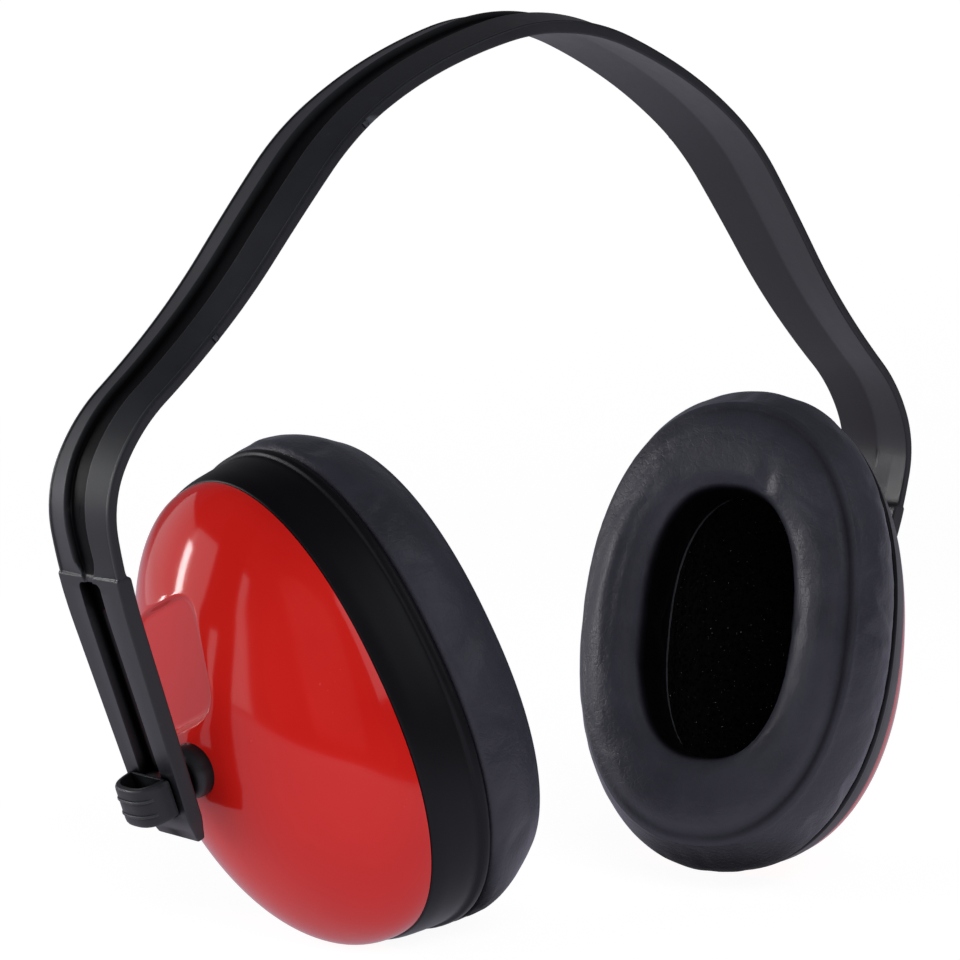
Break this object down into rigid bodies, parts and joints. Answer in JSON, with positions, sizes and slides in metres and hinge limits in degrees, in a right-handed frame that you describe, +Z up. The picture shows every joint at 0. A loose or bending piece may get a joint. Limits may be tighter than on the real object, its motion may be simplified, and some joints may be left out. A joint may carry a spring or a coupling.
{
  "type": "earmuff_hearing_protector",
  "caption": "Over-the-head earmuff hearing protector with a moulded slotted headband, sliding ball-jointed oval cups and soft leatherette ear cushions",
  "frame": {"origin": "bottom centre of the whole object's box, under the crown; the ear axis through the two ball joints is about 39 mm above it", "axes": "+X from the left cup to the right cup, +Y fore and aft, away from the side first seen, +Z up to the crown"},
  "size_m": [0.235, 0.0944, 0.1923],
  "materials": {
    "band_plastic": "satin moulded black",
    "slider_plastic": "satin moulded black",
    "stud_acetal": "smooth black acetal",
    "seat_nylon": "natural dark nylon",
    "clip_steel": "bright spring steel",
    "shell_red": "high gloss red",
    "liner_foam": "open-cell black foam",
    "rim_black": "smooth satin black",
    "plate_black": "matte black",
    "pad_foam": "soft closed foam",
    "leatherette": "fine-grained black leatherette"
  },
  "bodies": {
    "headband": {"headband": "band_plastic"},
    "left_slider": {"left_slider_knob": "slider_plastic"},
    "left_stud": {"left_pivot_stud": "stud_acetal"},
    "left_seat": {"left_ball_seat": "seat_nylon"},
    "left_cup": {"left_ball_socket": "slider_plastic", "left_socket_clip": "clip_steel", "left_cup_shell": "shell_red", "left_foam_liner": "liner_foam", "left_cup_rim": "rim_black", "left_cushion_plate": "plate_black", "left_cushion_foam": "pad_foam", "left_cushion_cover": "leatherette"},
    "right_slider": {"right_slider_knob": "slider_plastic"},
    "right_stud": {"right_pivot_stud": "stud_acetal"},
    "right_seat": {"right_ball_seat": "seat_nylon"},
    "right_cup": {"right_ball_socket": "slider_plastic", "right_socket_clip": "clip_steel", "right_cup_shell": "shell_red", "right_foam_liner": "liner_foam", "right_cup_rim": "rim_black", "right_cushion_plate": "plate_black", "right_cushion_foam": "pad_foam", "right_cushion_cover": "leatherette"}
  },
  "joints": [
    {"name": "left_slider_travel", "type": "slide", "parent": "headband", "child": "left_slider", "axis": [-0.3584, 0, 0.9336], "range_m": [0, 0.017]},
    {"name": "left_stud_spin", "type": "hinge", "parent": "left_slider", "child": "left_stud", "pos_m": [-0.08994, 0.00523, 0.03842], "axis": [0.9336, 0, 0.3584], "range_deg": [-1, 38]},
    {"name": "left_cup_yaw", "type": "hinge", "parent": "left_stud", "child": "left_seat", "pos_m": [-0.08994, 0.00523, 0.03842], "axis": [-0.3584, 0, 0.9336], "range_deg": [-18, 14]},
    {"name": "left_cup_nod", "type": "hinge", "parent": "left_seat", "child": "left_cup", "pos_m": [-0.08994, 0.00523, 0.03842], "axis": [0, 1, 0], "range_deg": [-12, 0]},
    {"name": "right_slider_travel", "type": "slide", "parent": "headband", "child": "right_slider", "axis": [0.3584, 0, 0.9336], "range_m": [-0.005, 0.018]},
    {"name": "right_stud_spin", "type": "hinge", "parent": "right_slider", "child": "right_stud", "pos_m": [0.09116, 0.00523, 0.0416], "axis": [-0.9336, 0, 0.3584], "range_deg": [-21, 19]},
    {"name": "right_cup_yaw", "type": "hinge", "parent": "right_stud", "child": "right_seat", "pos_m": [0.09116, 0.00523, 0.0416], "axis": [0.3584, 0, 0.9336], "range_deg": [-34, 0]},
    {"name": "right_cup_nod", "type": "hinge", "parent": "right_seat", "child": "right_cup", "pos_m": [0.09116, 0.00523, 0.0416], "axis": [0, 1, 0], "range_deg": [0, 8]}
  ]
}
